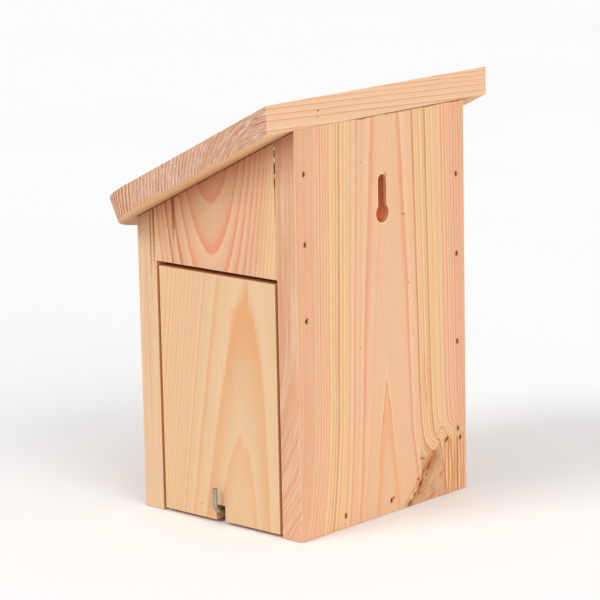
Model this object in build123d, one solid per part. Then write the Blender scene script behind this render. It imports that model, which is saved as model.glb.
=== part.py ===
from build123d import *
import math
import os

# A wall-hung nesting box for small birds: six boards nailed together under a
# sloping roof, with one long side that swings up on two nails for cleaning
# and a turning hook that holds it shut.
#
# The origin lies on the ground, midway across the box and midway between the
# roof's front tip and its back face. +Z is up, +Y is the face that hangs on
# the wall, +X is the side with the door. Lengths are in millimetres.

# Driving dimensions
BOARD = 16.0                # thickness of every board
BODY_WIDTH = 160.0          # across the front and back panels
CHAMBER_DEPTH = 103.0       # inside, from the front panel to the back panel
BACK_HEIGHT = 255.5         # ground to the roof's underside, at the wall
ROOF_SLOPE = 26.2           # degrees, falling towards the front
ROOF_WIDTH = 206.4
ROOF_STRAIGHT = 128.9       # straight part of the roof's sides, along the slope
ROOF_BOW = 58.9             # depth of the half-elliptical front, along the slope
EASE = 0.3                  # rounding of the sanded board edges
ROOF_CHIP = (4.4, 4.0, 1.1) # knocked corner: along the back, along the side, up

# Door, its opening and its pivot
DOOR_WIDTH = 98.4
DOOR_BOTTOM = 1.9
DOOR_TOP = 159.5
UPPER_SIDE_BOTTOM = 162.4   # lower edge of the short fixed board above the door
UPPER_SIDE_GAPS = (0.05, 0.9)   # open joint to the back panel, at its foot and its top
PIVOT_INSET = 8.8           # pivot axis behind the door's outer face
PIVOT_HEIGHT = 137.6
NOTCH_WIDTH = 7.8
NOTCH_TOP = 12.0
NOTCH_FROM_BACK = 68.4      # centre of the notch and of the hook, from the wall

# Turning hook
WIRE = 3.2                  # diameter
HOOK_HEIGHT = 8.5           # axis of the screwed-in shank
HOOK_REACH = 85.0           # from the middle of the box to the leg's centre line
HOOK_BEND = 6.0             # centre-line radius of the bend
HOOK_TOP = 23.8             # top of the leg
HOOK_GRIP = 22.0            # length screwed into the floor board
HOOK_POINT = 4.0            # tapered end of that length

# Entrance and hanging slot
ENTRANCE = 32.0             # diameter
ENTRANCE_HEIGHT = 140.0
ENTRANCE_CHAMFER = 1.5
KEY_ENTRY = 12.2            # diameter of the round mouth and width of the undercut
KEY_SLOT = 8.0              # width of the narrow slot
KEY_ENTRY_HEIGHT = 193.7
KEY_SLOT_TOP = 218.2
KEY_LIP = 2.5               # wood left in front of the undercut
KEY_DEPTH = 8.2

# Fasteners
BRAD_LENGTH = 38.0
BRAD_SHANK = (1.5, 1.3)     # across and along the head's long side
BRAD_HEAD = (1.7, 2.9)
BRAD_HEAD_THICKNESS = 1.0
BRAD_SUNK = 0.6             # head below the face of the board
BRAD_POINT = 3.0
NAIL = 2.0                  # shank diameter of the pivot nails
NAIL_HEAD = 2.8
NAIL_HEAD_THICKNESS = 1.2
NAIL_SUNK = 1.6
NAIL_LENGTH = 38.0
NAIL_POINT = 3.0
NAIL_DIVOT = 0.7            # chamfer torn around a pivot nail's mouth
RUNNING_CLEARANCE = 0.05    # radial, pivot bores and hook hole
BORE_SPARE = 2.0            # bore beyond the end of a nail or of the hook

# Fastener positions
BACK_LEFT_BRADS = (208.3, 156.7, 99.2, 41.5)    # heights, into the full side
BACK_RIGHT_BRADS = (227.9, 184.8)               # heights, into the short side
BACK_FLOOR_BRADS = (38.9, -5.0)                 # across, into the floor
FRONT_LEFT_BRADS = (172.0, 128.0, 84.0, 40.0)
FRONT_RIGHT_BRADS = (184.0, 170.0)
FRONT_FLOOR_BRADS = (-34.0, 34.0)
ROOF_CROSS_BRADS = (-62.0, 0.0, 62.0)           # across, into front and back panels
SIDE_FLOOR_BRADS = (0.25, 0.75)                 # fractions of the chamber depth
ROOF_SIDE_BRADS = (0.3, 0.7)

# Values that follow from them
SLOPE = math.radians(ROOF_SLOPE)
ROOF_RISE = BOARD / math.cos(SLOPE)             # roof thickness, measured plumb
ROOF_LENGTH = ROOF_STRAIGHT + ROOF_BOW
OVERALL_DEPTH = ROOF_LENGTH * math.cos(SLOPE) + BOARD * math.sin(SLOPE)
WALL_Y = OVERALL_DEPTH / 2                      # the face that hangs on the wall
CHAMBER_BACK = WALL_Y - BOARD
CHAMBER_FRONT = CHAMBER_BACK - CHAMBER_DEPTH
FRONT_Y = CHAMBER_FRONT - BOARD
HALF_WIDTH = BODY_WIDTH / 2
CHAMBER_HALF = HALF_WIDTH - BOARD
SIDE_MIDDLE = HALF_WIDTH - BOARD / 2            # mid-plane of a side board
DOOR_BACK = CHAMBER_BACK - (CHAMBER_DEPTH - DOOR_WIDTH) / 2
DOOR_FRONT = DOOR_BACK - DOOR_WIDTH
HOOK_Y = WALL_Y - NOTCH_FROM_BACK
PIVOT_X = HALF_WIDTH - PIVOT_INSET


def roof_underside(y):
    """Height of the roof's underside at a distance y along the depth."""
    return BACK_HEIGHT - (WALL_Y - y) * math.tan(SLOPE)


def cross_board(y_front, y_back):
    """A full-width upright board whose top is bevelled to the roof."""
    corners = [
        (y_front, 0),
        (y_back, 0),
        (y_back, roof_underside(y_back)),
        (y_front, roof_underside(y_front)),
    ]
    return eased(extruded_across(corners, -HALF_WIDTH, HALF_WIDTH))


def side_board(x_low, x_high, bottom, gap_at_foot=0.0, gap_at_top=0.0):
    """An upright board between the front and back panels, bevelled to the roof."""
    foot_back = CHAMBER_BACK - gap_at_foot
    top_back = CHAMBER_BACK - gap_at_top
    corners = [
        (CHAMBER_FRONT, bottom),
        (foot_back, bottom),
        (top_back, roof_underside(top_back)),
        (CHAMBER_FRONT, roof_underside(CHAMBER_FRONT)),
    ]
    return eased(extruded_across(corners, x_low, x_high))


def extruded_across(corners, x_low, x_high):
    """Extrude a (y, z) outline from x_low to x_high."""
    outline = Plane.YZ * Polygon(*corners, align=None)
    return Pos(x_low, 0, 0) * extrude(outline, amount=x_high - x_low, dir=(1, 0, 0))


def block(x, y, z):
    """A box given by its (low, high) limits on each axis."""
    size = [high - low for low, high in (x, y, z)]
    middle = [(high + low) / 2 for low, high in (x, y, z)]
    return Pos(*middle) * Box(*size)


def eased(board, radius=EASE):
    """Round every edge of a board slightly."""
    return fillet(board.edges(), radius)


def brad(place):
    """A headed brad, driven along -Z of its place, whose origin is on the board's face."""
    head_top = -BRAD_SUNK
    shank_top = head_top - BRAD_HEAD_THICKNESS
    tip = head_top - BRAD_LENGTH
    half = BRAD_SHANK[1] / 2
    outline = [
        (-half, shank_top),
        (half, shank_top),
        (half, tip + BRAD_POINT),
        (0, tip),
        (-half, tip + BRAD_POINT),
    ]
    width = BRAD_SHANK[0]
    shank = Pos(-width / 2, 0, 0) * extrude(
        Plane.YZ * Polygon(*outline, align=None), amount=width, dir=(1, 0, 0)
    )
    head = Pos(0, 0, head_top - BRAD_HEAD_THICKNESS / 2) * Box(*BRAD_HEAD, BRAD_HEAD_THICKNESS)
    return place * (shank + head)


def brad_mouth(place, reach=1.0):
    """The open pocket above a sunk brad head."""
    depth = BRAD_SUNK + reach
    return place * Pos(0, 0, reach - depth / 2) * Box(*BRAD_HEAD, depth)


def round_nail(place, sunk, length, clearance=0.0, spare=0.0):
    """A pointed nail with a small round head, along -Z of its place."""
    shank_radius = NAIL / 2 + clearance
    head = Pos(0, 0, -sunk - NAIL_HEAD_THICKNESS / 2) * Cylinder(NAIL_HEAD / 2, NAIL_HEAD_THICKNESS)
    straight = length - NAIL_POINT - NAIL_HEAD_THICKNESS + spare
    top = -sunk - NAIL_HEAD_THICKNESS
    shank = Pos(0, 0, top - straight / 2) * Cylinder(shank_radius, straight)
    point = Pos(0, 0, top - straight - NAIL_POINT / 2) * Rot(180, 0, 0) * Cone(
        shank_radius, 0.2, NAIL_POINT
    )
    return place * (head + shank + point)


def nail_mouth(place):
    """The torn hole above a sunk pivot nail, wider at the face of the board."""
    hole = Pos(0, 0, -NAIL_SUNK / 2) * Cylinder(NAIL_HEAD / 2, NAIL_SUNK)
    divot = Pos(0, 0, -NAIL_DIVOT / 2) * Cone(NAIL_HEAD / 2, NAIL_HEAD / 2 + NAIL_DIVOT, NAIL_DIVOT)
    return place * (hole + divot)


def facing_back(x, z):
    """A place on the wall face, with the fastener driven forwards."""
    return Plane((x, WALL_Y, z), x_dir=(1, 0, 0), z_dir=(0, 1, 0)).location


def facing_front(x, z):
    """A place on the front face, with the fastener driven backwards."""
    return Plane((x, FRONT_Y, z), x_dir=(1, 0, 0), z_dir=(0, -1, 0)).location


def facing_left(y, z):
    """A place on the outside of the full side, with the fastener driven inwards."""
    return Plane((-HALF_WIDTH, y, z), x_dir=(0, 1, 0), z_dir=(-1, 0, 0)).location


def facing_up(x, y):
    """A place on the roof with the fastener driven plumb, its head across the slope."""
    z = roof_underside(y) + ROOF_RISE
    return Plane((x, y, z), x_dir=(0, 1, 0), z_dir=(0, 0, 1)).location


def key_slot():
    """The blind keyhole cut: round mouth, narrow slot and the undercut behind its lips."""
    top = KEY_SLOT_TOP - KEY_SLOT / 2
    run = top - KEY_ENTRY_HEIGHT
    wall = Plane((0, WALL_Y, KEY_ENTRY_HEIGHT), x_dir=(-1, 0, 0), z_dir=(0, 1, 0)).location

    def capsule(width, start, end):
        body = Pos(0, run / 2, 0) * Rectangle(width, run)
        outline = body + Circle(width / 2) + Pos(0, run, 0) * Circle(width / 2)
        return wall * Pos(0, 0, -end) * extrude(outline, amount=end - start)

    mouth = wall * Pos(0, 0, (1 - KEY_DEPTH) / 2) * Cylinder(KEY_ENTRY / 2, KEY_DEPTH + 1)
    slot = capsule(KEY_SLOT, -1, KEY_LIP)
    undercut = capsule(KEY_ENTRY, KEY_LIP, KEY_DEPTH)
    return mouth + slot + undercut


def entrance():
    """The round entrance, with its outer edge chamfered."""
    centre = Plane((0, FRONT_Y, ENTRANCE_HEIGHT), x_dir=(1, 0, 0), z_dir=(0, -1, 0)).location
    hole = centre * Pos(0, 0, -BOARD / 2) * Cylinder(ENTRANCE / 2, BOARD + 2)
    flare = centre * Pos(0, 0, -ENTRANCE_CHAMFER / 2) * Cone(
        ENTRANCE / 2, ENTRANCE / 2 + ENTRANCE_CHAMFER, ENTRANCE_CHAMFER
    )
    return hole + flare


def roof_board():
    """A board with a bowed front edge, plumb-cut at the wall, laid on the slope."""
    half = ROOF_WIDTH / 2
    overlap = BOARD
    blank = Pos(0, (overlap - ROOF_STRAIGHT) / 2, 0) * Rectangle(ROOF_WIDTH, ROOF_STRAIGHT + overlap)
    bow = Pos(0, -ROOF_STRAIGHT, 0) * Ellipse(half, ROOF_BOW)
    flat = extrude(blank + bow, amount=BOARD)
    sloped = Pos(0, WALL_Y, BACK_HEIGHT) * Rot(ROOF_SLOPE, 0, 0) * flat
    beyond_wall = block((-half - 1, half + 1), (WALL_Y, WALL_Y + 40), (0, BACK_HEIGHT + 60))
    return split(eased(sloped - beyond_wall), bisect_by=chip_plane(), keep=Keep.BOTTOM)


def chip_plane():
    """The flat left where the roof's lower back corner was knocked, facing outwards."""
    along_back, along_side, up = ROOF_CHIP
    corner = Vector(ROOF_WIDTH / 2, WALL_Y, BACK_HEIGHT)
    on_back = corner - Vector(along_back, 0, 0)
    on_side = corner - Vector(0, math.cos(SLOPE), math.sin(SLOPE)) * along_side
    above = corner + Vector(0, 0, up)
    outward = (on_side - on_back).cross(above - on_back)
    if outward.X < 0:
        outward = -outward
    return Plane(on_back, z_dir=outward)


def door_board():
    """The swinging side, notched at its foot for the hook."""
    board = eased(
        block((CHAMBER_HALF, HALF_WIDTH), (DOOR_FRONT, DOOR_BACK), (DOOR_BOTTOM, DOOR_TOP))
    )
    notch = block(
        (CHAMBER_HALF - 1, HALF_WIDTH + 1),
        (HOOK_Y - NOTCH_WIDTH / 2, HOOK_Y + NOTCH_WIDTH / 2),
        (0, NOTCH_TOP),
    )
    return board - notch


def hook():
    """Wire bent square: a pointed shank in the floor's edge and an upright leg."""
    bend_x = HOOK_REACH - HOOK_BEND
    shank_start = CHAMBER_HALF - HOOK_GRIP + HOOK_POINT
    shank = Line((shank_start, HOOK_Y, HOOK_HEIGHT), (bend_x, HOOK_Y, HOOK_HEIGHT))
    bend = CenterArc((0, 0, 0), HOOK_BEND, -90, 90)
    bend = Plane(
        (bend_x, HOOK_Y, HOOK_HEIGHT + HOOK_BEND), x_dir=(1, 0, 0), z_dir=(0, -1, 0)
    ).location * bend
    leg = Line(
        (HOOK_REACH, HOOK_Y, HOOK_HEIGHT + HOOK_BEND),
        (HOOK_REACH, HOOK_Y, HOOK_TOP),
    )
    section = Plane(
        (shank_start, HOOK_Y, HOOK_HEIGHT), x_dir=(0, 1, 0), z_dir=(1, 0, 0)
    ) * Circle(WIRE / 2)
    wire = sweep(section, path=Wire([shank, bend, leg]))
    point = Pos(shank_start - HOOK_POINT / 2, HOOK_Y, HOOK_HEIGHT) * Rot(0, -90, 0) * Cone(
        WIRE / 2, 0.4, HOOK_POINT
    )
    return wire + point


def hook_hole():
    """The pilot hole in the floor's edge, a running fit round the hook."""
    depth = HOOK_GRIP + BORE_SPARE
    middle = CHAMBER_HALF - depth / 2 + 0.5
    return Pos(middle, HOOK_Y, HOOK_HEIGHT) * Rot(0, 90, 0) * Cylinder(
        WIRE / 2 + RUNNING_CLEARANCE, depth + 1
    )


# Boards
back_panel = cross_board(CHAMBER_BACK, WALL_Y) - key_slot()
front_panel = cross_board(FRONT_Y, CHAMBER_FRONT) - entrance()
fixed_side_panel = side_board(-HALF_WIDTH, -CHAMBER_HALF, 0)
upper_side_panel = side_board(CHAMBER_HALF, HALF_WIDTH, UPPER_SIDE_BOTTOM, *UPPER_SIDE_GAPS)
floor_panel = eased(
    block((-CHAMBER_HALF, CHAMBER_HALF), (CHAMBER_FRONT, CHAMBER_BACK), (0, BOARD))
)
floor_panel -= hook_hole()
boards = {
    "back_panel": back_panel,
    "front_panel": front_panel,
    "fixed_side_panel": fixed_side_panel,
    "upper_side_panel": upper_side_panel,
    "floor_panel": floor_panel,
    "roof_board": roof_board(),
    "door": door_board(),
}

# Brads: the places of each group, and the boards that its brads pass through
floor_line = BOARD / 2
back_line = WALL_Y - BOARD / 2
front_line = FRONT_Y + BOARD / 2
brad_groups = {
    "back_fixed_side_brads": (
        [facing_back(-SIDE_MIDDLE, z) for z in BACK_LEFT_BRADS],
        ["back_panel", "fixed_side_panel"],
    ),
    "back_upper_side_brads": (
        [facing_back(SIDE_MIDDLE, z) for z in BACK_RIGHT_BRADS],
        ["back_panel", "upper_side_panel"],
    ),
    "back_floor_brads": (
        [facing_back(x, floor_line) for x in BACK_FLOOR_BRADS],
        ["back_panel", "floor_panel"],
    ),
    "front_fixed_side_brads": (
        [facing_front(-SIDE_MIDDLE, z) for z in FRONT_LEFT_BRADS],
        ["front_panel", "fixed_side_panel"],
    ),
    "front_upper_side_brads": (
        [facing_front(SIDE_MIDDLE, z) for z in FRONT_RIGHT_BRADS],
        ["front_panel", "upper_side_panel"],
    ),
    "front_floor_brads": (
        [facing_front(x, floor_line) for x in FRONT_FLOOR_BRADS],
        ["front_panel", "floor_panel"],
    ),
    "fixed_side_floor_brads": (
        [facing_left(CHAMBER_FRONT + part * CHAMBER_DEPTH, floor_line) for part in SIDE_FLOOR_BRADS],
        ["fixed_side_panel", "floor_panel"],
    ),
    "roof_back_brads": (
        [facing_up(x, back_line) for x in ROOF_CROSS_BRADS],
        ["roof_board", "back_panel"],
    ),
    "roof_front_brads": (
        [facing_up(x, front_line) for x in ROOF_CROSS_BRADS],
        ["roof_board", "front_panel"],
    ),
    "roof_fixed_side_brads": (
        [facing_up(-SIDE_MIDDLE, CHAMBER_FRONT + part * CHAMBER_DEPTH) for part in ROOF_SIDE_BRADS],
        ["roof_board", "fixed_side_panel"],
    ),
    "roof_upper_side_brads": (
        [facing_up(SIDE_MIDDLE, CHAMBER_FRONT + part * CHAMBER_DEPTH) for part in ROOF_SIDE_BRADS],
        ["roof_board", "upper_side_panel"],
    ),
}
groups = {}
for name, (places, through) in brad_groups.items():
    groups[name] = [brad(place) for place in places]
    for place, one in zip(places, groups[name]):
        boards[through[0]] -= brad_mouth(place)
        for board in through:
            boards[board] -= one

# The two nails that the door turns on
pivots = {
    "door_pivot_nail_back": (facing_back(PIVOT_X, PIVOT_HEIGHT), "back_panel"),
    "door_pivot_nail_front": (facing_front(PIVOT_X, PIVOT_HEIGHT), "front_panel"),
}
nails = {}
for name, (place, board) in pivots.items():
    nails[name] = round_nail(place, NAIL_SUNK, NAIL_LENGTH)
    boards[board] -= nails[name]
    boards[board] -= nail_mouth(place)
    boards["door"] -= round_nail(place, NAIL_SUNK, NAIL_LENGTH, RUNNING_CLEARANCE, BORE_SPARE)

# One STEP file per node
nodes = {**boards, **nails, "latch_hook": hook()}
for name, solids in groups.items():
    nodes[name] = Compound(children=solids)
os.makedirs("parts", exist_ok=True)
for name, shape in nodes.items():
    export_step(shape, f"parts/{name}.step")
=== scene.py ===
import math
from collections import namedtuple

import bpy
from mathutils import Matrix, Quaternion, Vector


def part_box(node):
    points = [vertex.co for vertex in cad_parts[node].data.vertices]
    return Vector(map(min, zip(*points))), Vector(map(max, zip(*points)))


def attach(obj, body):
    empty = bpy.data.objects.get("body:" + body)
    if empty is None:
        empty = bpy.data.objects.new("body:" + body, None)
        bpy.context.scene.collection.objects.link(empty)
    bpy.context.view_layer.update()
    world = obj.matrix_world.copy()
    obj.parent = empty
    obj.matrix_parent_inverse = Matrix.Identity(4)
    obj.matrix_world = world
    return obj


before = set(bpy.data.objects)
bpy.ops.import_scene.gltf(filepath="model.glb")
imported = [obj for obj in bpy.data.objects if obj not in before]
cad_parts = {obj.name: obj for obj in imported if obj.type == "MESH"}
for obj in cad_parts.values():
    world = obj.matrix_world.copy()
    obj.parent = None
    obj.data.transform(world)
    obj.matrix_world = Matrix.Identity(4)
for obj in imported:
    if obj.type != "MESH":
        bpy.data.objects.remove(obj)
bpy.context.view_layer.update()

MM = 0.001

# A Mix node's colour sockets, by number: its two inputs, then its output
MIX_UNDER, MIX_OVER, MIX_RESULT = 6, 7, 2
# A colour ramp holds 32 stops: one to start from, and five for each ring
RINGS_PER_RAMP = 6
# Radius of the log that the tints of the wood cover, in mm
LOG_RADIUS = 160.0

# Colours of the wood, as sRGB bytes: first its plain tints
PEACH = (226, 181, 143)
STRAW = (226, 189, 144)
SAND = (228, 187, 149)
ROSE = (221, 174, 137)
DUSK = (204, 155, 121)
BLUSH = (218, 170, 134)
CREAM = (221, 186, 145)
WHEAT = (224, 192, 154)
PALE = (246, 214, 180)
# Growth rings and stains, from light to dark
CORAL = (224, 160, 118)
SALMON = (218, 132, 94)
AMBER = (222, 142, 80)
HONEY = (222, 150, 96)
OCHRE = (190, 98, 30)
RUSSET = (184, 102, 44)
BURNT = (160, 84, 34)
UMBER = (150, 80, 30)
RED_BROWN = (140, 48, 16)
BROWN = (108, 50, 18)
# A painted shadow for the line along the open joint right under the roof
JOINT_SHADOW = (116, 54, 16)
CRACK = (84, 30, 8)
# The knot
KNOT_TAN = (213, 167, 125)
KNOT_RED = (186, 112, 62)
KNOT_DARK = (130, 66, 24)
# Sawn ends and edges
CUT_ROSE = (200, 151, 123)
CUT_RING = (150, 84, 52)
CUT_TIP = (232, 182, 140)
CUT_FUR = (242, 218, 204)
SAWN = (218, 174, 142)
SAWN_PALE = (234, 200, 174)
# Painted shade under the eaves, painted bounce light on the roof's underside, painted warm shade
# inside the gaps, and the wood inside the hanging slot
SHADE = (164, 98, 56)
PAINTED_BOUNCE_LIGHT = (238, 198, 150)
GAP_SHADE = (218, 146, 84)
KEY_LIP = (230, 150, 84)
KEY_BROWN = (212, 110, 42)
# Metal
ZINC = (158, 160, 150)
ZINC_LIGHT = (190, 190, 180)
ZINC_DARK = (120, 120, 112)
STEEL = (88, 86, 80)
STEEL_LIGHT = (130, 128, 120)
RUST = (118, 76, 52)

# Object coordinates of one point of a board, in mm, with the normal and a shared rough noise
Place = namedtuple("Place", "x y z vector normal rough")


def linear(colour):
    """A shader colour from sRGB bytes."""
    parts = [c / 255 for c in colour]
    return [c / 12.92 if c <= 0.04045 else ((c + 0.055) / 1.055) ** 2.4 for c in parts] + [1.0]


class Field:
    """A number that shader nodes work out at each point, so that a pattern reads as a formula."""

    def __init__(self, tree, socket):
        self.tree = tree
        self.socket = socket

    def feed(self, socket):
        self.tree.links.new(self.socket, socket)

    def math(self, operation, *others):
        node = self.tree.nodes.new("ShaderNodeMath")
        node.operation = operation
        self.feed(node.inputs[0])
        for place, other in enumerate(others, 1):
            connect(other, node.inputs[place])
        return Field(self.tree, node.outputs[0])

    def __add__(self, other):
        return self.math("ADD", other)

    def __sub__(self, other):
        return self.math("SUBTRACT", other)

    def __rsub__(self, other):
        return self.math("MULTIPLY_ADD", -1.0, other)

    def __mul__(self, other):
        return self.math("MULTIPLY", other)

    def __truediv__(self, other):
        return self.math("DIVIDE", other)

    __radd__ = __add__
    __rmul__ = __mul__

    def squared(self):
        return self * self

    def root(self):
        return self.math("SQRT")

    def size(self):
        return self.math("ABSOLUTE")

    def at_least(self, other):
        return self.math("MAXIMUM", other)

    def at_most(self, other):
        return self.math("MINIMUM", other)

    def ramp(self, start, end, top=1.0):
        """Rises smoothly from 0 at start to top at end."""
        node = self.tree.nodes.new("ShaderNodeMapRange")
        node.interpolation_type = "SMOOTHSTEP"
        self.feed(node.inputs["Value"])
        rising = end > start
        node.inputs["From Min"].default_value = min(start, end)
        node.inputs["From Max"].default_value = max(start, end)
        node.inputs["To Min"].default_value = 0.0 if rising else top
        node.inputs["To Max"].default_value = top if rising else 0.0
        return Field(self.tree, node.outputs["Result"])

    def chance(self):
        """A random number from 0 to 1 for each whole value."""
        node = self.tree.nodes.new("ShaderNodeTexWhiteNoise")
        node.noise_dimensions = "1D"
        self.feed(node.inputs["W"])
        return Field(self.tree, node.outputs["Value"])


def connect(value, socket):
    """Feeds a field into a socket, or sets the socket to a number."""
    if isinstance(value, Field):
        value.feed(socket)
    else:
        socket.default_value = value


def joined(tree, *parts):
    """A vector socket from three fields."""
    node = tree.nodes.new("ShaderNodeCombineXYZ")
    for part, socket in zip(parts, node.inputs):
        part.feed(socket)
    return node.outputs[0]


def vector_math(tree, operation, vector, other=None):
    """A Vector Math node on a vector socket and, where there is one, a fixed vector."""
    node = tree.nodes.new("ShaderNodeVectorMath")
    node.operation = operation
    tree.links.new(vector, node.inputs[0])
    if other is not None:
        node.inputs[1].default_value = other
    return node


def fitted(tree, vector, centre, sizes, turn=(0, 0, 0)):
    """The vector in a frame that sits at centre, is turned, and counts in sizes."""
    node = tree.nodes.new("ShaderNodeMapping")
    node.vector_type = "TEXTURE"
    node.inputs["Location"].default_value = centre
    node.inputs["Rotation"].default_value = [math.radians(angle) for angle in turn]
    node.inputs["Scale"].default_value = sizes
    tree.links.new(vector, node.inputs["Vector"])
    return node.outputs[0]


def noise(tree, vector, sizes, detail=1.0, offset=0.0):
    """Noise from -1 to 1 whose patches measure sizes, in mm, along the three coordinates."""
    node = tree.nodes.new("ShaderNodeTexNoise")
    node.inputs["Scale"].default_value = 1.0
    node.inputs["Detail"].default_value = detail
    at = fitted(tree, vector, [-offset * size for size in sizes], sizes)
    tree.links.new(at, node.inputs["Vector"])
    return Field(tree, node.outputs["Fac"]).math("MULTIPLY_ADD", 2.0, -1.0)


def mixed(tree, under, over, share, mode="MIX"):
    """A colour socket with over laid on under by share, from 0 to 1."""
    node = tree.nodes.new("ShaderNodeMix")
    node.data_type = "RGBA"
    node.blend_type = mode
    node.clamp_factor = True
    connect(share, node.inputs["Factor"])
    for value, socket in ((under, node.inputs[MIX_UNDER]), (over, node.inputs[MIX_OVER])):
        if isinstance(value, tuple):
            socket.default_value = linear(value)
        else:
            tree.links.new(value, socket)
    return node.outputs[MIX_RESULT]


def brightened(tree, colour, amount):
    """The colour times amount, a field near 1."""
    node = vector_math(tree, "SCALE", colour)
    connect(amount, node.inputs["Scale"])
    return node.outputs[0]


def banded(tree, field, low, high, stops):
    """A colour ramp over a field from low to high. Stops are (value, colour, alpha)."""
    node = tree.nodes.new("ShaderNodeValToRGB")
    field.math("MULTIPLY_ADD", 1 / (high - low), -low / (high - low)).feed(node.inputs[0])
    elements = node.color_ramp.elements
    for number, (value, colour, alpha) in enumerate(stops):
        place = (value - low) / (high - low)
        if number < 2:
            stop = elements[number]
            stop.position = place
        else:
            stop = elements.new(place)
        stop.color = linear(colour)[:3] + [alpha]
    return node.outputs[0], Field(tree, node.outputs[1])


def new_material(name):
    """A material with its node tree and its shader."""
    material = bpy.data.materials.new(name)
    material.use_nodes = True
    tree = material.node_tree
    shader = tree.nodes["Principled BSDF"]
    return material, tree, shader


def place_in_mm(tree, seed=0.0):
    """The object's own coordinates, in mm, and what goes with them."""
    node = tree.nodes.new("ShaderNodeTexCoord")
    scaled = vector_math(tree, "SCALE", node.outputs["Object"])
    scaled.inputs["Scale"].default_value = 1 / MM
    vector = scaled.outputs[0]
    fields = []
    for output in (vector, node.outputs["Normal"]):
        split = tree.nodes.new("ShaderNodeSeparateXYZ")
        tree.links.new(output, split.inputs[0])
        fields.append([Field(tree, socket) for socket in split.outputs])
    rough = noise(tree, vector, (1.1, 1.1, 1.1), 2, seed + 17)
    return Place(*fields[0], vector, fields[1], rough)


def ring_bands(tree, radius, rings):
    """The colour and the share of single growth rings.

    Each ring darkens from the pith's side, ends crisply, and has paler wood outside it.
    A colour ramp holds few stops, so the rings are laid on in groups.
    """
    colour, share = None, None
    rings = sorted(rings)
    for start in range(0, len(rings), RINGS_PER_RAMP):
        group = rings[start:start + RINGS_PER_RAMP]
        low = group[0][0] - group[0][1] - 0.5
        high = group[-1][0] + group[-1][1] * 2
        stops = [(low, group[0][3], 0.0)]
        for number, (at, width, strength, tint) in enumerate(group):
            crisp = at + 0.3 * width
            pale_end = at + 1.6 * width
            if number + 1 < len(group):
                following = group[number + 1]
                pale_end = min(pale_end, following[0] - following[1])
            stops += [
                (max(at - width, stops[-1][0] + 0.02), tint, 0.0),
                (at - 0.4 * width, tint, strength * 0.7),
                (at, tint, strength),
                (crisp, PALE, strength * 0.35),
                (max(pale_end, crisp + 0.02), PALE, 0.0),
            ]
        tint, amount = banded(tree, radius, low, high, stops)
        if share is None:
            colour, share = tint, amount
        else:
            colour = mixed(tree, colour, tint, radius.ramp(low, low + 0.1))
            share = share.at_least(amount)
    return colour, share


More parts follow.
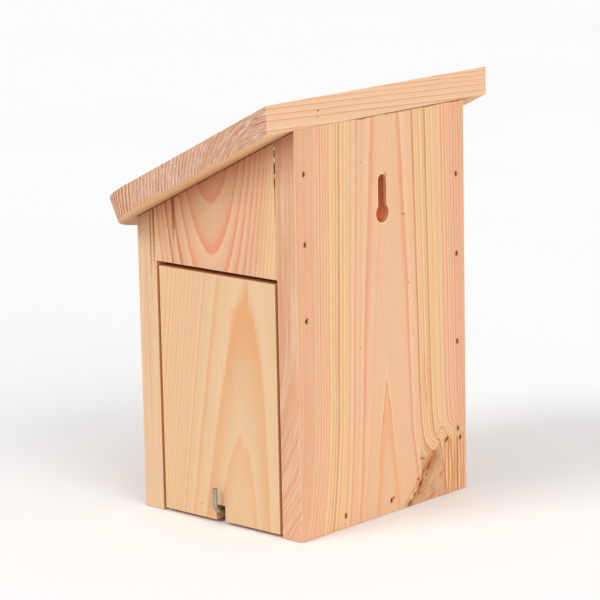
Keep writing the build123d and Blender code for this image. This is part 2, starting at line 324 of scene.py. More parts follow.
def wood(name, board, across, along, depth, pith, taper, zones, near=(), far=(), spacing=4.0,
         fade=None, strength=0.35, line=SALMON, tilt=0.0, lean=0.0, waver=1.5, torn=0.12,
         seed=0.0, shift=None, marks=(), grain_axis=2):
    """Pine cut from a round log.

    across, along and depth turn a place on the board into mm across its face, along its grain
    and into the board. The rings lie round a pith at pith = (across, depth), and taper gives how
    they open along the grain. zones tint the wood by its radius. near and far pick out single
    rings on the two sides of the pith. Other rings come every spacing, from fade[0] to full
    strength at fade[1], in the colour line and by strength. tilt and lean slant the pith along the
    grain, across the face and into the board. waver bends the rings, torn frays them, and shift
    moves them locally. The faces across grain_axis are cut ends. marks are laid on in their order.
    """
    material, tree, shader = new_material(name)
    place = place_in_mm(tree, seed)
    u, v, w = across(place), along(place), depth(place)
    grain = joined(tree, u, w, v)
    wander = noise(tree, grain, (45, 45, 220), 1, seed)
    ripple = noise(tree, grain, (4, 4, 45), 1, seed + 7)
    feather = noise(tree, grain, (0.7, 0.7, 16), 1, seed + 13)
    side = u - pith[0] - v * tilt
    if shift:
        side = side + shift(tree, u, v, grain)
    inward = w - pith[1] - v * lean
    radius = (side.squared() + inward.squared() + v * taper).at_least(1).root()
    radius = radius + wander * waver + ripple * 0.3 + feather * torn
    ringwise = joined(tree, radius, u, w)

    colour, _ = banded(tree, radius, 0.0, LOG_RADIUS, [(at, tint, 1.0) for at, tint in zones])
    phase = radius / spacing + noise(tree, ringwise, (9, 300, 300), 1, seed + 3) * 0.6
    within = phase.math("FRACT")
    late = within.ramp(0.35, 0.9) * within.ramp(1.0, 0.9)
    late = late * phase.math("FLOOR").chance().math("MULTIPLY_ADD", 0.8, 0.2)
    early = within.ramp(0.5, 0.05)
    if fade:
        late = late * radius.ramp(*fade)
        early = early * radius.ramp(*fade)
    colour = mixed(tree, colour, line, late * strength)
    fading = noise(tree, grain, (12, 12, 70), 1, seed + 29).math("MULTIPLY_ADD", 0.35, 0.9)
    for rings, here in ((near, side.ramp(-1, 1)), (far, side.ramp(1, -1))):
        if rings:
            tint, share = ring_bands(tree, radius, rings)
            share = share * here
            colour = mixed(tree, colour, tint, share * fading)
            late = late.at_least(share)

    broad = noise(tree, grain, (14, 14, 90), 2, seed + 31)
    streaks = noise(tree, grain, (1.0, 1.0, 40), 1, seed + 37)
    fibres = noise(tree, grain, (0.3, 0.3, 8), 1, seed + 41)
    pores = noise(tree, grain, (0.45, 0.45, 5), 0, seed + 43).ramp(0.5, 0.75)
    chatter = noise(tree, grain, (7, 7, 0.8), 0, seed + 45)
    specks = noise(tree, grain, (0.4, 0.4, 0.4), 1, seed + 47)
    light = broad * 0.03 + streaks * 0.045 + fibres * 0.08 + specks * 0.045 + chatter * 0.02 + 1
    colour = brightened(tree, colour, light)
    colour = mixed(tree, colour, UMBER, pores * 0.10)
    resin = noise(tree, grain, (3, 3, 80), 1, seed + 53).ramp(0.05, 0.9, 0.18)
    colour = mixed(tree, colour, AMBER, resin)

    # Cut ends are rosier and darker, with harder rings and pale torn fibres
    end_grain = place.normal[grain_axis].squared().ramp(0.35, 0.8)
    saw = noise(tree, grain, (0.45, 0.6, 3.0), 2, seed + 59)
    fur = noise(tree, ringwise, (0.6, 7, 7), 2, seed + 61)
    cut = mixed(tree, colour, CUT_ROSE, 0.75 - late * 0.5)
    cut = mixed(tree, cut, CUT_RING, late * 0.66 + fur.ramp(0.0, 0.6, 0.24))
    white = early * 0.55 + fur.ramp(0.05, -0.45)
    cut = mixed(tree, cut, CUT_FUR, white * saw.ramp(-0.5, 0.3, 0.85))
    cut = brightened(tree, cut, saw * 0.08 + 0.98)
    colour = mixed(tree, colour, cut, end_grain)

    for mark in marks:
        colour = mark(tree, colour, place, seed)
    colour = worn_and_highlit_edges(tree, colour, board, place)
    tree.links.new(colour, shader.inputs["Base Color"])

    dullness = fibres * 0.05 + broad * 0.03 + end_grain * 0.14 - late * 0.05 + 0.62
    dullness.feed(shader.inputs["Roughness"])
    shader.inputs["Specular IOR Level"].default_value = 0.12
    furry = end_grain * (saw + fur) * 1.4
    height = fibres * 0.6 + feather * 0.25 + late * 0.12 + specks * 0.2 + chatter * 0.2 + furry
    bumped(tree, shader, height, 0.0001, 0.5)
    return material


def bumped(tree, shader, height, distance, strength):
    """Fine relief for the shader. distance is in metres."""
    node = tree.nodes.new("ShaderNodeBump")
    node.inputs["Strength"].default_value = strength
    node.inputs["Distance"].default_value = distance
    height.feed(node.inputs["Height"])
    tree.links.new(node.outputs[0], shader.inputs["Normal"])


def worn_and_highlit_edges(tree, colour, board, place):
    """Pale wood where two faces of the board meet: partly rubbed, fuzzy wear, and partly a painted
    highlight along the edge.
    """
    low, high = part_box(board)
    away = vector_math(tree, "SUBTRACT", place.vector, (low + high) / 2 / MM).outputs[0]
    away = vector_math(tree, "ABSOLUTE", away).outputs[0]
    split = tree.nodes.new("ShaderNodeSeparateXYZ")
    tree.links.new(away, split.inputs[0])
    limits = (high - low) / 2 / MM
    a, b, c = [Field(tree, socket) * -1 + limit for socket, limit in zip(split.outputs, limits)]
    first = a.at_most(b).at_most(c)
    second = a.at_most(b).at_least(a.at_least(b).at_most(c))
    mask = (second + place.rough * 0.35).ramp(0.75, 0.15, 0.22) * first.ramp(0.6, 0.2)
    return mixed(tree, colour, PALE, mask)


def metal(name, tints, roughness, scale, metallic=1.0):
    """Dull metal with mottled colour and fine scratches."""
    material, tree, shader = new_material(name)
    vector = place_in_mm(tree).vector
    blotch = noise(tree, vector, (scale,) * 3, 3, 2.0)
    grit = noise(tree, vector, (scale * 0.12,) * 3, 2, 5.0)
    colour = mixed(tree, tints[0], tints[1], blotch.ramp(-0.2, 0.6))
    colour = mixed(tree, colour, tints[2], grit.ramp(0.25, 0.7, 0.5))
    tree.links.new(colour, shader.inputs["Base Color"])
    shader.inputs["Metallic"].default_value = metallic
    (blotch * 0.10 + grit * 0.06 + roughness).feed(shader.inputs["Roughness"])
    bumped(tree, shader, blotch * 0.5 + grit * 0.5, 0.00005, 0.4)
    return material


def splinter_wood(name):
    """Pale torn wood with darker fibres."""
    material, tree, shader = new_material(name)
    vector = place_in_mm(tree).vector
    fibres = noise(tree, vector, (0.15, 0.15, 2.5), 2, 3.0)
    colour = mixed(tree, PALE, CORAL, fibres.ramp(-0.1, 0.5))
    tree.links.new(colour, shader.inputs["Base Color"])
    shader.inputs["Roughness"].default_value = 0.75
    bumped(tree, shader, fibres, 0.0001, 0.5)
    return material


# Places on the boards, in mm: the back board's outer and inner face, the front board's outer face,
# half the body's width, and the back board's top
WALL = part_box("back_panel")[1].y / MM
INNER_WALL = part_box("back_panel")[0].y / MM
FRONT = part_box("front_panel")[0].y / MM
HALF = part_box("back_panel")[1].x / MM
BACK_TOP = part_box("back_panel")[1].z / MM
# The roof's slope, falling towards the front
SLOPE = math.radians(26.2)
# Height below which the rings in the back's sawn edge run off it
FLARE_HEIGHT = 135
# The tips of the door's grain: their distance from the wall, and the height where they close
FLAME_FORWARD = 42.5
FLAME_TOP = 161
# The roof board's pith: how far down the slope, and how far above the underside
ROOF_PITH = (8, -45)
# The hanging slot in the back: heights of its two centres, then its radii
KEY_FOOT = 193.7
KEY_TOP = 214.2
KEY_SLOT_RADIUS = 4.0
KEY_ENTRY_RADIUS = 6.1


def sideways(place):
    return place.x


def height(place):
    return place.z


def from_wall(place):
    """Negative, as every board lies in front of the wall."""
    return place.y - WALL


def into_back(place):
    return WALL - place.y


def into_front(place):
    return place.y - FRONT


def into_side(place):
    """Distance in from the face of the side that opens."""
    return HALF - place.x


def slope_run(place):
    """Distance down the roof's slope from its lower back edge."""
    return (place.y - WALL) * -math.cos(SLOPE) + (place.z - BACK_TOP) * -math.sin(SLOPE)


def roof_depth(place):
    """Distance above the roof's underside, square to it."""
    return (place.z - BACK_TOP) * math.cos(SLOPE) + (place.y - WALL) * -math.sin(SLOPE)


# A mark is one feature on a board. It takes the tree, the colour under it, the place and the
# board's seed, which not every mark needs, and gives the new colour.
def spot(centre, sizes, colour, strength, turn=(0, 0, 0)):
    """A small ragged stain. centre and sizes are in mm, turn in degrees."""
    def mark(tree, under, place, seed):
        at = fitted(tree, place.vector, centre, sizes, turn)
        away = Field(tree, vector_math(tree, "LENGTH", at).outputs["Value"])
        share = (away + place.rough * 0.35).ramp(1.1, 0.5, strength)
        return mixed(tree, under, colour, share)
    return mark


def back_spot(across, up, wide, tall, colour, strength, turn=0):
    """A stain on the back."""
    return spot((across, WALL, up), (wide, 2.0, tall), colour, strength, (0, turn, 0))


def side_spot(across, up, wide, tall, colour, strength, turn=0):
    """A stain on the side that opens, across mm forward of the wall."""
    return spot((HALF, WALL - across, up), (2.0, wide, tall), colour, strength, (turn, 0, 0))


def wall_shade_under_eaves(tree, under, place, seed):
    """Painted shade that darkens the walls towards the roof's underside, and a dark line painted
    along the open joint right below it as that joint's shadow.

    On the back the joint is closed at the side that opens.
    """
    drop = roof_depth(place) * -1
    outward = place.normal[0].size().ramp(0.5, 0.8)
    shade = drop.ramp(24, -2) * outward
    colour = mixed(tree, under, SHADE, shade * shade * 0.6, "MULTIPLY")
    ragged = noise(tree, place.vector, (6, 6, 6), 2, seed + 83)
    joint = (drop + ragged * 0.8).ramp(0.9, 0.2, 0.9)
    return mixed(tree, colour, JOINT_SHADOW, joint * outward.at_least(place.x.ramp(38, 18)))


def eaves_shade(tree, under, place, seed):
    """Painted light and shade on the roof's underside: a painted bounce light over the faces that
    look down, and painted shade that darkens them towards the walls.
    """
    below = place.normal[2].ramp(-0.4, -0.7)
    inward = (place.x.size() - HALF).ramp(16, 0, 0.45)
    colour = mixed(tree, under, PAINTED_BOUNCE_LIGHT, below * 0.6)
    return mixed(tree, colour, SHADE, inward * below, "MULTIPLY")


def sawn_edge(inward, slant, fine, contrast):
    """The sawn side edge of a board, with fine rings that run off it towards the foot."""
    def mark(tree, under, place, seed):
        run = inward(place) - (FLARE_HEIGHT - place.z).at_least(0).squared() * slant
        strip = joined(tree, run, place.z, place.x)
        lines = noise(tree, strip, (fine, 60, 30), 2, seed + 89)
        hair = noise(tree, strip, (0.6, 9, 9), 2, seed + 91)
        share = place.normal[0].size().ramp(0.5, 0.8, contrast)
        colour = mixed(tree, under, SAWN, share * 0.8)
        colour = mixed(tree, colour, SALMON, share * lines.ramp(-0.02, 0.35))
        colour = mixed(tree, colour, SAWN_PALE, share * lines.ramp(0.05, -0.4))
        return mixed(tree, colour, SAWN_PALE, share * hair.ramp(0.1, 0.6))
    return mark


def gap_shade(tree, under, place, seed):
    """Faces inside the narrow gaps round the door get a painted warm shade, standing in for the
    dim light bounced about between the wood there.
    """
    hidden = place.normal[0].squared().ramp(0.7, 0.3, 0.65) * place.x.ramp(60, 66)
    within = (WALL - place.y).ramp(2, 4) * (place.y - FRONT).ramp(2, 4)
    return mixed(tree, under, GAP_SHADE, hidden * within)


def keyhole(tree, under, place, seed):
    """Wood inside the hanging slot, orange at its lip and browner deeper in, and a pale torn rim
    around it.
    """
    inward = WALL - place.y
    beyond = (place.z - KEY_TOP).at_least(0) + (KEY_FOOT - place.z).at_least(0)
    slot = (place.x.squared() + beyond.squared()).root() - KEY_SLOT_RADIUS
    entry = (place.x.squared() + (place.z - KEY_FOOT).squared()).root() - KEY_ENTRY_RADIUS
    away = slot.at_most(entry)
    rim = (away + place.rough * 0.4).ramp(0.9, 0.2) * inward.ramp(0.3, 0.1, 0.7)
    colour = mixed(tree, under, PALE, rim)
    within = away.ramp(4.5, 4.0)
    lip = inward.ramp(0.15, 0.5) * within
    colour = mixed(tree, colour, KEY_LIP, lip * (place.rough * 0.3 + 0.7))
    return mixed(tree, colour, KEY_BROWN, inward.ramp(2.0, 3.2, 0.9) * within)


def flame(tree, under, place, seed):
    """The two tips of the door's cathedral grain, where the saw ran along one ring."""
    forward = WALL - place.y - FLAME_FORWARD
    torn = noise(tree, place.vector, (1.2, 1.2, 30), 2, seed + 93)
    before = forward - place.z.ramp(147, 138, 12.5) + torn * 2.5
    behind = forward * -1 - (FLAME_TOP - place.z) * 0.22 + torn * 1.5
    fill = before.ramp(3.0, -1.0) * behind.ramp(1.2, -2.0)
    fill = fill * (place.z + torn * 24).ramp(103, 124, 0.36)
    return mixed(tree, under, HONEY, fill * place.normal[0].ramp(0.5, 0.8))


def roof_ends(tree, under, place, seed):
    """The roof's sawn ends: a torn pale sheen at the back, and hard alternate rings in front."""
    run, depth = slope_run(place), roof_depth(place)
    radius = ((run - ROOF_PITH[0]).squared() + (depth - ROOF_PITH[1]).squared()).root()
    end = place.normal[0].size().ramp(0.6, 0.9)
    ringwise = joined(tree, radius, run, depth)
    tear = noise(tree, ringwise, (0.8, 7, 7), 2, seed + 95)
    behind = end * run.ramp(75, 15)
    colour = mixed(tree, under, CUT_RING, behind * tear.ramp(0.0, -0.5, 0.40))
    colour = mixed(tree, colour, CUT_FUR, behind * tear.ramp(0.1, 0.5, 0.50))
    beat = (radius / 3.3 + place.rough * 0.12).math("FRACT")
    lines = (beat - 0.5).size()
    before = end * radius.ramp(112, 140)
    colour = mixed(tree, colour, CUT_TIP, before * lines.ramp(0.15, 0.4, 0.75))
    return mixed(tree, colour, RED_BROWN, before * lines.ramp(0.22, 0.02, 0.8))


def back_shift(tree, u, v, grain):
    """The back panel's rings flare at the foot, and crowd past a knot low on the far side."""
    foot = (1 - v / 90).at_least(0).squared()
    flare = u * foot * -0.12
    loose = noise(tree, grain, (9, 12, 40), 1, 71)
    fold = (u + 47.5).size().ramp(8, 0, 6) - (u + 56).size().ramp(6.5, 0, 4) + loose * 2
    below = (v + fold).ramp(50, 34)
    crowd = u.ramp(-36, -56) * (1 - u.ramp(-58, -88, 0.9))
    swirl = crowd * below * 15 + (v + loose * 6).ramp(60, 20, 2.5) * u.ramp(-20, -34)
    centre = u + 2
    narrow = (centre * 1.2).at_most(2.2).at_least(-2.2) * centre.size().ramp(22, 12)
    return flare + swirl + narrow


def knot(tree, under, place, seed):
    """The knot at the foot of the back panel, where the rings turn out to meet a branch."""
    u, v = place.x, place.z
    wavy = noise(tree, place.vector, (5, 40, 5), 2, 73)
    rough = noise(tree, place.vector, (1.6, 9, 1.6), 2, 85)
    grit = noise(tree, place.vector, (0.7, 6, 0.7), 3, 87)
    edge = u + v + 20.5 + wavy * 3.0
    left = (edge - (v - 14).at_least(0) * 1.05 + rough * 2.0).ramp(1.5, -1.5)
    right = (u + 57.5 + wavy - v * 0.03).ramp(-1.0, 1.0)
    top = (v - (u + 38) * 0.1 - 32.5 + wavy * 5 + rough * 3).ramp(3, -4)
    inside = left * right * top
    # Fibres inside the knot curve up towards its far edge
    bend = u + (v - 8).squared() * 0.012
    slanted = joined(tree, (bend + v) * 0.7, place.y, (v - bend) * 0.7)
    hair = noise(tree, slanted, (0.9, 12, 9), 2, 75)
    cloud = noise(tree, slanted, (4.0, 9, 8), 2, 77)
    core = mixed(tree, KNOT_TAN, KNOT_RED, (hair * 0.9 + cloud * 0.8).ramp(-0.1, 0.7, 0.75))
    core = mixed(tree, core, SAND, (hair * -0.9 - cloud * 0.4).ramp(0.1, 0.7, 0.6))
    core = mixed(tree, core, KNOT_DARK, (hair * 0.5 + cloud * 0.9).ramp(0.3, 0.8, 0.6))
    core = mixed(tree, core, KNOT_DARK, grit.ramp(0.0, 0.5, 0.65))
    margin = edge.size().ramp(10, 1, 0.7) * (cloud * 0.8 + grit * 0.5 + 0.6)
    core = mixed(tree, core, KNOT_DARK, margin)
    colour = mixed(tree, under, core, inside)
    halo = (edge - 2).size().ramp(6.5, 0, 0.8) * (v + wavy * 6).ramp(36, 24)
    colour = mixed(tree, colour, OCHRE, halo * (cloud + rough + grit * 0.4).ramp(-0.3, 0.6))
    crack = (edge + rough * 2.5).size().ramp(1.1, 0.2) * v.ramp(19, 14)
    colour = mixed(tree, colour, CRACK, crack * (cloud + rough).ramp(-0.5, 0.4, 0.6))
    for across, width, tint, share in KNOT_LINES:
        line = (u + wavy * 0.8 - across).size().ramp(width, 0.2, share)
        colour = mixed(tree, colour, tint, line * (v + wavy * 3).ramp(41, 34))
    for pocket in KNOT_POCKETS:
        colour = back_spot(*pocket)(tree, colour, place, seed)
    smudge = (u + 39.5 + wavy * 1.2).size().ramp(4.0, 0) * (v - 78).size().ramp(26, 6)
    speckle = noise(tree, place.vector, (0.6, 9, 9.0), 3, 79).ramp(-0.1, 0.4)
    colour = mixed(tree, colour, OCHRE, smudge * speckle)
    beside = (u + 67).size().ramp(12, 9, 0.6) * (v + wavy * 4).ramp(48, 34)
    lines = noise(tree, joined(tree, u + wavy * 0.6, place.y, v), (0.9, 9, 45), 1, 81)
    return mixed(tree, colour, OCHRE, beside * lines.ramp(-0.05, 0.4))


# Dark pockets at the knot: across, up, width, height, colour, share, turn
KNOT_POCKETS = [
    (-42.0, 23.0, 1.8, 4.6, BURNT, 0.90, -31),
    (-39.5, 17.5, 1.1, 1.1, KNOT_DARK, 0.90, 0),
    (-33.5, 12.6, 1.5, 3.0, BROWN, 0.75, -38),
    (-27.4, 6.8, 1.2, 2.2, BROWN, 0.60, -38),
    (-22.8, 2.2, 2.0, 3.0, KNOT_DARK, 0.70, -42),
    (-36.5, 20.5, 2.8, 0.9, KNOT_DARK, 0.55, 22),
    (-31.0, 16.2, 2.0, 0.9, KNOT_DARK, 0.60, -27),
    (-60.2, 36.5, 1.5, 3.0, KNOT_DARK, 0.95, -42),
    (-47.5, 30.5, 3.0, 1.2, BURNT, 0.60, -11),
    (-36.0, 29.0, 2.4, 1.0, BURNT, 0.60, -22),
    (-45.0, 27.5, 1.6, 2.6, KNOT_RED, 0.80, -50),
    (-52.0, 38.0, 2.6, 1.0, BURNT, 0.55, -35),
]
# Dark lines that run down beside the knot: across, half width, colour, share
KNOT_LINES = [
    (-58.3, 1.0, RUSSET, 0.55),
    (-61.9, 1.1, RUSSET, 0.65),
    (-65.2, 1.0, RUSSET, 0.50),
    (-68.2, 0.9, OCHRE, 0.35),
    (-71.1, 1.1, BURNT, 0.85),
    (-74.2, 0.9, OCHRE, 0.30),
    (-77.1, 1.0, RUSSET, 0.45),
]
# The wood's tint by radius from the pith
BACK_ZONES = [
    (0, PEACH), (31.2, PEACH), (32.3, CORAL), (32.5, PEACH), (44, PEACH), (50, STRAW), (61, STRAW),
    (66, PEACH), (78, ROSE), (88, ROSE), (94, DUSK), (110, DUSK),
]
# Single growth rings: radius, width and strength, then colour
BACK_NEAR_RINGS = [
    (32.45, 0.3, 0.90, AMBER),
    (35.8, 0.8, 0.20, AMBER),
    (39.0, 1.6, 0.60, SALMON),
    (41.9, 0.9, 0.25, SALMON),
    (44.9, 1.3, 0.65, SALMON),
    (48.4, 1.3, 0.60, SALMON),
    (50.6, 1.0, 0.40, AMBER),
    (53.1, 1.2, 0.70, AMBER),
    (56.0, 1.4, 0.80, OCHRE),
    (58.1, 1.1, 0.55, OCHRE),
    (60.4, 1.3, 0.60, AMBER),
    (63.5, 1.3, 0.65, SALMON),
    (65.6, 1.0, 0.55, SALMON),
    (67.6, 1.1, 0.65, SALMON),
    (70.0, 1.2, 0.80, SALMON),
    (72.3, 1.0, 0.60, SALMON),
]
BACK_FAR_RINGS = [
    (32.45, 0.3, 0.90, AMBER),
    (39.9, 1.5, 0.70, SALMON),
    (45.6, 1.4, 0.70, OCHRE),
    (47.6, 0.9, 0.45, AMBER),
    (49.5, 1.2, 0.70, AMBER),
    (51.6, 0.9, 0.50, AMBER),
    (53.8, 1.8, 0.75, OCHRE),
    (56.0, 0.9, 0.40, AMBER),
    (57.8, 1.1, 0.70, AMBER),
    (60.2, 0.9, 0.35, AMBER),
    (62.3, 1.1, 0.65, SALMON),
    (66.5, 1.2, 0.95, SALMON),
    (69.5, 1.2, 0.90, SALMON),
    (71.8, 0.9, 0.55, SALMON),
    (73.9, 1.0, 0.75, SALMON),
    (76.6, 1.0, 0.60, SALMON),
    (79.0, 1.0, 0.60, SALMON),
    (81.4, 1.0, 0.60, SALMON),
]
UPPER_NEAR_RINGS = [
    (24.2, 2.2, 0.60, SALMON),
    (30.6, 1.9, 0.75, SALMON),
    (35.0, 1.6, 0.80, SALMON),
    (39.0, 1.5, 0.85, SALMON),
    (42.8, 1.4, 0.80, SALMON),
    (46.2, 1.3, 0.75, SALMON),
    (49.3, 1.1, 0.65, SALMON),
    (51.9, 1.0, 0.60, AMBER),
    (54.4, 1.0, 0.60, AMBER),
    (57.1, 0.9, 0.55, AMBER),
    (59.4, 0.9, 0.50, AMBER),
]
UPPER_FAR_RINGS = [
    (24.2, 2.2, 0.60, SALMON),
    (30.6, 1.9, 0.75, SALMON),
    (35.8, 1.8, 0.85, SALMON),
    (41.5, 1.8, 0.85, OCHRE),
    (46.6, 1.5, 0.95, OCHRE),
    (50.2, 1.0, 0.50, SALMON),
    (53.5, 1.6, 0.70, SALMON),
]
DOOR_NEAR_RINGS = [
    (19.6, 4.0, 0.32, HONEY),
    (28.4, 6.0, 0.50, HONEY),
]
DOOR_FAR_RINGS = [
    (20.2, 4.0, 0.32, HONEY),
    (29.6, 6.6, 0.55, HONEY),
    (40.4, 2.8, 0.50, HONEY),
    (48.4, 1.2, 0.65, AMBER),
    (51.9, 0.9, 0.40, AMBER),
    (54.0, 0.9, 0.35, AMBER),
    (56.2, 0.9, 0.35, AMBER),
    (59.1, 1.0, 0.40, AMBER),
    (62.2, 1.0, 0.35, AMBER),
    (64.8, 0.9, 0.55, AMBER),
    (67.1, 0.8, 0.40, AMBER),
    (69.3, 0.9, 0.60, AMBER),
    (72.5, 1.0, 0.65, AMBER),
    (76.2, 1.1, 0.55, AMBER),
    (79.4, 1.0, 0.35, AMBER),
]
FRONT_RINGS = [
    (41.5, 1.8, 0.80, SALMON),
    (45.6, 1.6, 0.75, SALMON),
    (49.0, 1.4, 0.70, SALMON),
    (52.2, 1.2, 0.60, SALMON),
    (54.9, 1.1, 0.55, AMBER),
    (57.3, 1.0, 0.50, AMBER),
    (59.6, 0.9, 0.50, AMBER),
]
ROOF_RINGS = [
    (44.1, 1.1, 0.70, SALMON),
    (49.9, 1.0, 0.80, SALMON),
    (53.4, 0.9, 0.75, SALMON),
    (57.0, 0.9, 0.75, SALMON),
    (60.1, 0.8, 0.60, SALMON),
    (63.0, 0.8, 0.75, SALMON),
    (65.3, 0.8, 0.65, SALMON),
    (67.2, 0.8, 0.65, SALMON),
]

# Stains on the back: across, up, width, height, colour, share and, for some, turn
BACK_SPOTS = [
    (-19.0, 190.3, 0.9, 0.8, RED_BROWN, 0.80),
    (-21.2, 189.8, 0.8, 0.7, RED_BROWN, 0.70),
    (-24.0, 146.0, 0.8, 0.9, RED_BROWN, 0.55),
    (-74.0, 35.0, 1.4, 2.0, CRACK, 0.95),
    (-7.2, 9.2, 0.9, 1.2, RED_BROWN, 0.90),
    (20.0, 228.0, 1.0, 1.0, UMBER, 0.35),
    (23.0, 112.0, 0.9, 1.1, UMBER, 0.40),
    (-5.0, 240.0, 0.6, 0.7, UMBER, 0.50),
    (-27.0, 133.0, 0.5, 3.0, PALE, 0.90, -35),
    (-3.2, 217.4, 1.1, 1.9, BURNT, 0.80, 30),
]
# Where nail heads went in through the back: across and up
BACK_NAILS = [
    (72.0, 227.9), (72.0, 184.8), (71.2, 137.6), (38.9, 8.0), (-5.0, 8.0),
    (-72.0, 208.3), (-72.0, 156.7), (-72.0, 99.2), (-72.0, 41.5),
]
BACK_MARKS = [knot] + [back_spot(*stain) for stain in BACK_SPOTS]
BACK_MARKS += [back_spot(x, z, 2.0, 2.5, UMBER, 0.55) for x, z in BACK_NAILS]
BACK_MARKS += [
    keyhole,
    gap_shade,
    sawn_edge(into_back, 0.0030, 1.3, 0.42),
    wall_shade_under_eaves,
]
UPPER_MARKS = [
    gap_shade,
    side_spot(103.0, 203.0, 1.7, 30.0, UMBER, 0.75),
    side_spot(16.3, 229.0, 0.9, 26.0, BROWN, 0.85),
    wall_shade_under_eaves,
]
FRONT_MARKS = [
    side_spot(120.5, 190.0, 1.0, 40.0, BURNT, 0.95),
    side_spot(123.5, 182.0, 0.9, 34.0, BURNT, 0.80),
    side_spot(127.5, 120.0, 0.6, 75.0, BURNT, 0.30),
    gap_shade,
    sawn_edge(into_front, 0.0, 0.5, 0.16),
    wall_shade_under_eaves,
]
ROOF_MARKS = [
    spot((58.0, WALL, BACK_TOP + 9.5), (0.9, 2.0, 0.9), CRACK, 0.75),
    spot((58.3, WALL, BACK_TOP + 5.5), (0.7, 2.0, 0.7), CRACK, 0.60),
    eaves_shade,
    roof_ends,
]
DOOR_MARKS = [
    flame,
    gap_shade,
    side_spot(85.0, 10.0, 0.8, 0.9, RUSSET, 0.8),
]

materials = {
    "pine_back": wood(
        "pine_back", "back_panel", sideways, height, into_back,
        pith=(-2, -30), taper=1.7, zones=BACK_ZONES, near=BACK_NEAR_RINGS, far=BACK_FAR_RINGS,
        spacing=1.5, fade=(72, 77), strength=0.8, waver=0.5, shift=back_shift,
        marks=BACK_MARKS, seed=1.0,
    ),
    "pine_front": wood(
        "pine_front", "front_panel", sideways, height, into_front,
        pith=(14, 38), taper=2.4, zones=[(0, PEACH), (40, PEACH), (62, WHEAT)],
        near=FRONT_RINGS, far=FRONT_RINGS, spacing=2.1, strength=0.3, fade=(58, 64),
        marks=FRONT_MARKS, seed=11.0,
    ),
    "pine_side": wood(
        "pine_side", "fixed_side_panel", from_wall, height, lambda p: p.x + HALF,
        pith=(-60, -22), taper=3.0, zones=[(0, PEACH), (50, STRAW), (90, ROSE)], spacing=4.2,
        strength=0.4, marks=[wall_shade_under_eaves], seed=21.0,
    ),
    "pine_upper_side": wood(
        "pine_upper_side", "upper_side_panel", from_wall, lambda p: p.z - 176,
        into_side, pith=(-71, -30), taper=-11.0,
        zones=[(0, BLUSH), (48, BLUSH), (58, STRAW)], near=UPPER_NEAR_RINGS,
        far=UPPER_FAR_RINGS, fade=(60, 62), waver=0.4, torn=0.35, marks=UPPER_MARKS, seed=31.0,
    ),
    "pine_floor": wood(
        "pine_floor", "floor_panel", from_wall, sideways, height,
        pith=(-60, -25), taper=1.5, zones=[(0, PEACH), (60, STRAW)], spacing=3.5,
        strength=0.4, seed=41.0, grain_axis=0,
    ),
    "pine_roof": wood(
        "pine_roof", "roof_board", slope_run, sideways, roof_depth,
        pith=ROOF_PITH, taper=0.0, zones=[(0, SAND), (150, SAND)],
        near=ROOF_RINGS, far=ROOF_RINGS, spacing=2.7, fade=(67, 70),
        strength=0.7, lean=0.043, waver=0.4, marks=ROOF_MARKS, seed=51.0, grain_axis=0,
    ),
    "pine_door": wood(
        "pine_door", "door", from_wall, lambda p: p.z - 156, into_side,
        pith=(-40, -30), taper=5.0, tilt=0.085, zones=[(0, CREAM), (50, CREAM), (90, STRAW)],
        near=DOOR_NEAR_RINGS, far=DOOR_FAR_RINGS, spacing=3.5, fade=(150, 151), line=AMBER,
        waver=0.5, torn=0.4, marks=DOOR_MARKS, seed=61.0,
    ),
    "zinc_wire": metal("zinc_wire", (ZINC, ZINC_LIGHT, ZINC_DARK), 0.42, 2.0),
    "steel_brad": metal("steel_brad", (STEEL, STEEL_LIGHT, RUST), 0.45, 0.8),
    "steel_nail": metal("steel_nail", (RUST, STEEL, BROWN), 0.55, 0.8),
}


def dress(obj, slots):
    """Each of a CAD node's material slots gets the material of the same name."""
    for slot in obj.material_slots:
        slot.material = slots[slot.material.name.split(".")[0]]


# Torn slivers across the open joint at the upper side panel, in mm: height, half length, lean,
# and how far they lie in from the face
SLIVERS = [
    (244.0, 0.7, 1.5, 0.2), (235.5, 1.6, -1.2, 0.1), (227.0, 1.2, 1.6, 0.2),
    (203.0, 18.0, 0.0, 0.5), (174.0, 9.0, 0.0, 0.5),
]


def joint_slivers():
    """Slivers that still bridge the open joint between the upper side and the back panel."""
    points, faces = [], []
    for up, long, lean, inset in SLIVERS:
        first = len(points)
        reach = (INNER_WALL - 1.3, INNER_WALL - 0.6, INNER_WALL + 0.1)
        for y, share in zip(reach, (0.5, 1.0, 0.6)):
            middle = up + (y - INNER_WALL) * lean
            for x in (HALF - inset - 0.8, HALF - inset):
                for z in (middle - share * long, middle + share * long):
                    points.append(Vector((x, y, z)) * MM)
        for a in (first, first + 4):
            faces += [(a, a + 4, a + 5, a + 1), (a + 2, a + 3, a + 7, a + 6)]
            faces += [(a, a + 2, a + 6, a + 4), (a + 1, a + 5, a + 7, a + 3)]
        faces += [(first, first + 1, first + 3, first + 2)]
        faces += [(first + 8, first + 10, first + 11, first + 9)]
    mesh = bpy.data.meshes.new("joint_slivers")
    mesh.from_pydata(points, [], faces)
    mesh.materials.append(splinter_wood("splinter"))
    slivers = bpy.data.objects.new("joint_slivers", mesh)
    bpy.context.scene.collection.objects.link(slivers)
    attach(slivers, "root")


def soft_sun(name, direction, strength, spread):
    """Even light that comes from a direction, softened by its spread in degrees."""
    data = bpy.data.lights.new(name, "SUN")
    data.energy = strength * math.pi
    data.angle = math.radians(spread)
    lamp = bpy.data.objects.new(name, data)
    bpy.context.scene.collection.objects.link(lamp)
    lamp.rotation_mode = "QUATERNION"
    lamp.rotation_quaternion = (-Vector(direction)).to_track_quat("-Z", "Y")


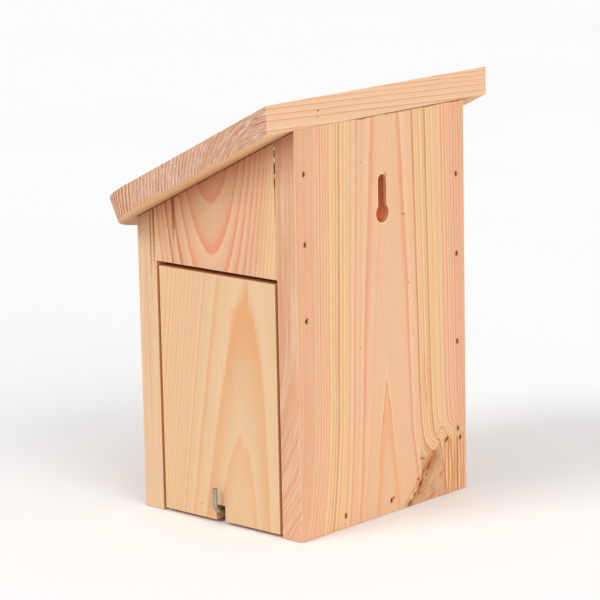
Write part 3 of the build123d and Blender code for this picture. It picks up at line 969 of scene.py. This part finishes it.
def studio():
    """A pale floor under an even white sky, with two soft lights."""
    material, tree, shader = new_material("studio_floor")
    mottle = noise(tree, place_in_mm(tree).vector, (400, 400, 400), 2)
    colour = mixed(tree, (252, 252, 252), (248, 248, 248), mottle)
    tree.links.new(colour, shader.inputs["Base Color"])
    shader.inputs["Roughness"].default_value = 0.9
    shader.inputs["Specular IOR Level"].default_value = 0.1
    bpy.ops.mesh.primitive_circle_add(
        vertices=96, radius=12, fill_type="NGON", location=(0, 0, -0.0002))
    floor = bpy.context.object
    floor.name = "studio_floor"
    floor.data.materials.append(material)
    world = bpy.data.worlds.new("studio_sky")
    bpy.context.scene.world = world
    world.use_nodes = True
    nodes, links = world.node_tree.nodes, world.node_tree.links
    sky = nodes["Background"]
    sky.inputs["Color"].default_value = (1.0, 1.0, 1.0, 1.0)
    sky.inputs["Strength"].default_value = 0.58
    # Behind the floor's edge the sky looks as white as the floor
    backdrop = nodes.new("ShaderNodeBackground")
    backdrop.inputs["Color"].default_value = linear((251, 251, 251))
    path = nodes.new("ShaderNodeLightPath")
    mix = nodes.new("ShaderNodeMixShader")
    links.new(path.outputs["Is Camera Ray"], mix.inputs["Fac"])
    links.new(sky.outputs[0], mix.inputs[1])
    links.new(backdrop.outputs[0], mix.inputs[2])
    links.new(mix.outputs[0], nodes["World Output"].inputs["Surface"])
    soft_sun("key", (1.6, -0.5, 1.5), 0.34, 25)
    soft_sun("fill", (0.6, 2.2, 1.2), 0.44, 50)


def view_camera():
    """The camera, by its direction, distance and aim, all in the part's frame."""
    azimuth = math.radians(132.32)
    elevation = math.radians(12.13)
    roll = math.radians(-1.17)
    distance = 1.8997
    aim = Vector((-7.25, 10.71, 127.39)) * MM
    back = Vector((
        math.sin(azimuth) * math.cos(elevation),
        -math.cos(azimuth) * math.cos(elevation),
        math.sin(elevation),
    ))
    data = bpy.data.cameras.new("camera")
    data.lens = 177.483
    data.sensor_width = 36.0
    data.clip_start = 0.05
    camera = bpy.data.objects.new("camera", data)
    bpy.context.scene.collection.objects.link(camera)
    camera.rotation_mode = "QUATERNION"
    camera.location = aim + back * distance
    camera.rotation_quaternion = (-back).to_track_quat("-Z", "Y") @ Quaternion((0, 0, 1), roll)
    bpy.context.scene.camera = camera


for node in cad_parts.values():
    dress(node, materials)
joint_slivers()
studio()
view_camera()
bpy.context.scene.view_settings.view_transform = "Standard"
